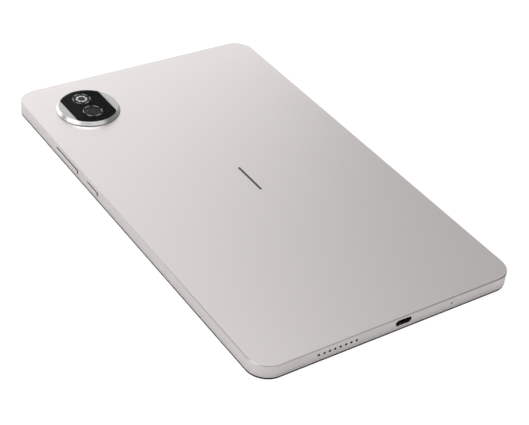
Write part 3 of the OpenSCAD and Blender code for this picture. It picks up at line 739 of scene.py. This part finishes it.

# ---------------------------------------------------------------- Port
# A deep-drawn steel shell with a glass-filled plastic tongue between two rows of
# gold-plated contacts. A rubber collar seals it to the housing's end wall.
# Painted shade: the port's steel shell is coloured near black, standing in for the shade inside the port.
port_steel = finish("port_steel", brushed, ((0.2, 0.2, 0.205), (0.15, 0.15, 0.155)), 0.3, 0.15, scale=1200,
                    relief=0.000003, metallic=1.0)
paint(finished_copy("usb_shell", "port_shell", 0.06 * mm), port_steel)
paint(finished_copy("usb_tongue", "port_tongue", 0.05 * mm),
      finish("tongue_plastic", grain, ((0.012, 0.012, 0.013), (0.02, 0.02, 0.021)), 0.4, 0.15, scale=4000,
             relief=0.000006))
paint(nodes["usb_contacts"], gold)
seal_rubber = finish("seal_rubber", grain, ((0.02, 0.02, 0.02), (0.03, 0.03, 0.03)), 0.7, 0.15, scale=3000,
                     relief=0.00001)
for node in ("usb_seal", "microphone_boot"):
    paint(nodes[node], seal_rubber)

# ---------------------------------------------------------------- Loudspeakers
# A sealed black box at each end, with a driver, a formed film diaphragm and a
# fine black wire mesh behind the row of holes.


def draw_weave(group, place, scale):
    """Plain weave of round wires or threads."""
    waves = []
    for direction in ("X", "Z"):
        wave = group.nodes.new("ShaderNodeTexWave")
        wave.bands_direction = direction
        group.links.new(place, wave.inputs["Vector"])
        group.links.new(scale, wave.inputs["Scale"])
        waves.append(wave)
    both = group.nodes.new("ShaderNodeMath")
    both.operation = "MAXIMUM"
    for number, wave in enumerate(waves):
        group.links.new(wave.outputs["Fac"], both.inputs[number])
    return both.outputs[0]


weave = pattern("wire_weave", draw_weave)
speaker_plastic = finish("speaker_plastic", grain, ((0.025, 0.025, 0.026), (0.035, 0.035, 0.036)), 0.5, 0.15,
                         scale=2500, relief=0.00001)
driver_steel = finish("driver_steel", rings, ((0.4, 0.4, 0.42), (0.32, 0.32, 0.34)), 0.3, 0.15, scale=800,
                      relief=0.000004, metallic=1.0)
cone_film = finish("cone_film", rings, ((0.16, 0.14, 0.12), (0.1, 0.09, 0.08)), 0.35, 0.15, scale=400,
                   relief=0.00002)
mesh_wire = finish("mesh_wire", weave, ((0.002, 0.002, 0.002), (0.02, 0.02, 0.02)), 0.5, 0.1, scale=2500,
                   relief=0.00004, Specular_IOR_Level=0.2)
for end in ("bottom", "top"):
    paint(nodes[end + "_speaker_box"], speaker_plastic)
    paint(nodes[end + "_speaker_lid"], speaker_plastic)
    paint(nodes[end + "_speaker_driver"], driver_steel)
    paint(nodes[end + "_speaker_cone"], cone_film)
    paint(nodes[end + "_speaker_mesh"], mesh_wire)

# ---------------------------------------------------------------- Antennas
# Plated patterns on two plastic carriers beside the right wall, each with a thin
# coaxial cable to the main board.
paint(nodes["wifi_antennas"], finish("antenna_plate", tracks, ((0.6, 0.48, 0.2), (0.75, 0.62, 0.3)), 0.3,
                                     0.15, scale=300, relief=0.00001, metallic=0.6))
paint(nodes["antenna_cables"], finish("cable_jacket", brushed, ((0.02, 0.02, 0.02), (0.035, 0.035, 0.035)),
                                      0.45, 0.1, scale=1500, relief=0.00001))

# ---------------------------------------------------------------- Backlight
# A rolled aluminium tray, with a graphite sheet on its back to spread heat, holds
# a clear light guide lit from its port end. Milky films lie on the guide's face.
paint(nodes["backlight_tray"], finish("tray_aluminium", brushed, ((0.7, 0.71, 0.73), (0.62, 0.63, 0.65)),
                                      0.3, 0.2, scale=500, relief=0.000006, metallic=1.0))
paint(nodes["graphite_sheet"], finish("graphite", grain, ((0.07, 0.07, 0.075), (0.1, 0.1, 0.105)), 0.4, 0.2,
                                      scale=1200, relief=0.00001, metallic=0.3))
paint(nodes["light_guide"], finish("light_guide", weave, ((0.8, 0.88, 0.9), (0.9, 0.95, 0.96)), 0.12, 0.1,
                                   scale=900, relief=0.00001, Coat_Weight=0.5))
paint(nodes["led_bar"], finish("lamp_strip", tracks, ((0.85, 0.83, 0.7), (0.8, 0.6, 0.2)), 0.4, 0.1,
                               scale=1200, relief=0.00001))
paint(nodes["diffuser_films"], finish("milky_film", grain, ((0.9, 0.9, 0.9), (0.86, 0.86, 0.87)), 0.4, 0.15,
                                      scale=5000, relief=0.000004))
paint(nodes["display_flex"], copper_flex)

# ---------------------------------------------------------------- Display panel
# A liquid-crystal cell behind a glossy polarising film. Switched off, it is a
# very dark blue-grey with its rows of cells just visible close to.
paint(nodes["lcd_cell"], finish("panel_off", weave, ((0.006, 0.0065, 0.009), (0.009, 0.0095, 0.013)), 0.22,
                                0.06, scale=1800, relief=0.000002))

# ---------------------------------------------------------------- Display frame
# A thin moulded frame in black plastic that carries the glass and shows as a
# black line between it and the metal.
frame_low, frame_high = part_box("display_frame")
fit_gap = 0.15 * mm
glass_gap, panel_gap = 0.2 * mm, 0.6 * mm
panel_corner = 3.3 * mm
frame_lip = shell_low.z
glass_low, glass_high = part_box("cover_glass")
panel_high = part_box("lcd_cell")[1]
front_camera_low, front_camera_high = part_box("front_camera")
front_camera_x = (front_camera_low.x + front_camera_high.x) / 2
surround = rounded_block("screen_surround", 2 * frame_high.x, 2 * frame_high.y, corner - fit_gap, frame_low.z,
                         frame_lip - 0.01 * mm)
bevel_edges(surround, rim_round, 2, lambda a, b: max(a.z, b.z) < frame_low.z + hair)
cut(surround, rounded_block("flange", 2 * (side_x - wall) - 2 * fit_gap, 2 * (end_y - wall) - 2 * fit_gap,
                            corner - wall - fit_gap, frame_lip - 0.02 * mm, frame_high.z), operation="UNION")
cut(surround, rounded_block("glass_seat", 2 * glass_high.x + glass_gap, 2 * glass_high.y + glass_gap,
                            corner - 0.9 * mm, -mm, glass_high.z))
cut(surround, rounded_block("panel_opening", 2 * panel_high.x + panel_gap, 2 * panel_high.y + panel_gap,
                            panel_corner, -mm, 3 * mm))
bpy.ops.object.select_all(action="DESELECT")
bpy.ops.mesh.primitive_cube_add(size=1, location=(front_camera_x, 0, 1.8 * mm),
                                scale=(5 * mm, 6 * mm, 2.4 * mm))
camera_gap = bpy.context.active_object
bpy.ops.object.transform_apply(location=True, rotation=True, scale=True)
cut(surround, camera_gap)
smooth(surround)
paint(surround, finish("satin_black_plastic", grain, ((0.006, 0.006, 0.0065), (0.011, 0.011, 0.0115)), 0.5,
                       0.1, scale=3500, relief=0.000006, Specular_IOR_Level=0.25))
settle(surround, "display_frame")

# ---------------------------------------------------------------- Cover glass
# A sheet of toughened glass, ground and polished round its edge. Black ink is
# printed behind its border, with a clear spot for the front camera.
glass_corner = corner - mm
glass_round = 0.28 * mm
ink_gap = 0.06 * mm
glass = rounded_block("front_glass", 2 * glass_high.x, 2 * glass_high.y, glass_corner, glass_low.z,
                      glass_high.z - ink_gap, 32)
bevel_edges(glass, glass_round, 4, lambda a, b: max(a.z, b.z) < glass_low.z + hair)
smooth(glass)
paint(glass, clear_glass("front_glass_clear", 1.45, 0.01))
settle(glass, "cover_glass")

print_edge = 0.2 * mm
view_inset, view_corner = 1.6 * mm, 2.4 * mm
border = rounded_block("printed_border", 2 * (glass_high.x - print_edge), 2 * (glass_high.y - print_edge),
                       glass_corner - print_edge, glass_high.z - 0.05 * mm, glass_high.z - 0.01 * mm)
cut(border, rounded_block("view", 2 * panel_high.x - view_inset, 2 * panel_high.y - view_inset, view_corner,
                          -mm, 2 * mm))
front_spot = (front_camera_x + 0.2 * mm, 0, glass_high.z)
spot_radius = 1.25 * mm
cut(border, drill(spot_radius, front_spot, mm, "Z", 48))
smooth(border)
paint(border, finish("border_ink", grain, ((0.003, 0.003, 0.003), (0.005, 0.005, 0.005)), 0.5, 0.1,
                     scale=3000, relief=0.000002))
settle(border, "cover_glass", replace=False)

# ---------------------------------------------------------------- Front camera
# A small fixed-focus camera in the border of one long side, looking out through
# the clear spot in the printed ink.
paint(finished_copy("front_camera", "front_camera_module", 0.04 * mm),
      finish("front_barrel", rings, ((0.008, 0.008, 0.009), (0.015, 0.015, 0.017)), 0.35, 0.15, scale=2500,
             relief=0.000006, centre=(front_spot[0], 0, 0)))
